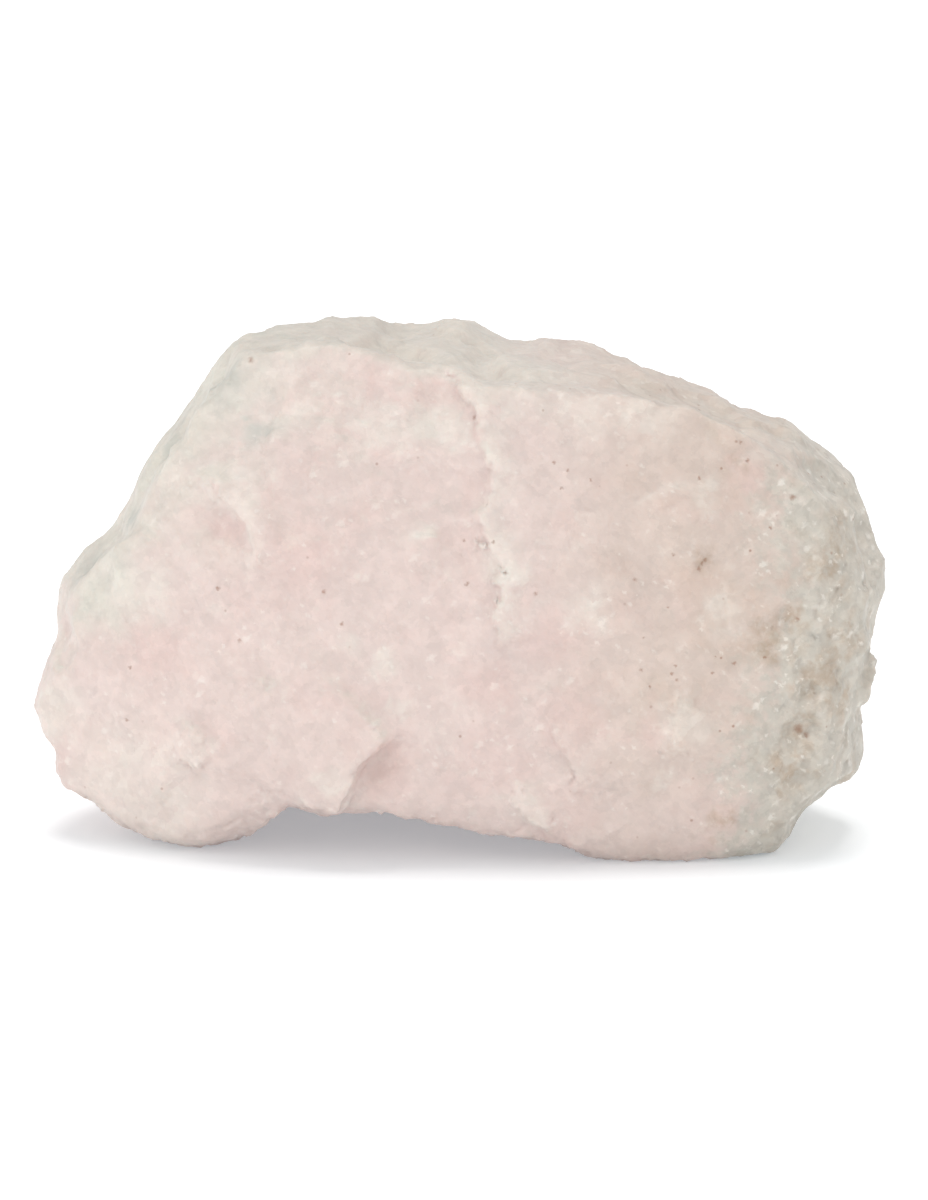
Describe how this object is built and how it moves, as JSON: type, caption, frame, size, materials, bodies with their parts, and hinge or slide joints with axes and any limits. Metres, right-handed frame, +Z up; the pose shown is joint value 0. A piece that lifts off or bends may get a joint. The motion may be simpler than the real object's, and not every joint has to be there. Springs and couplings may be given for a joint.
{
  "type": "mineral specimen",
  "caption": "Rough broken lump of pale pink calcite: a hand specimen with a ragged fracture face and a shallow hollow between its feet.",
  "frame": {"origin": "middle of the stone's bounding box in plan, on the surface it stands on", "axes": "+X along the stone's length, to the right as seen from its broken front face; +Y from the front face to the back; +Z up"},
  "size_m": [0.09, 0.0458, 0.0533],
  "materials": {
    "calcite": "waxy translucent pale pink, rough sugary fracture"
  },
  "bodies": {
    "root": {"calcite_stone": "calcite"}
  },
  "joints": []
}
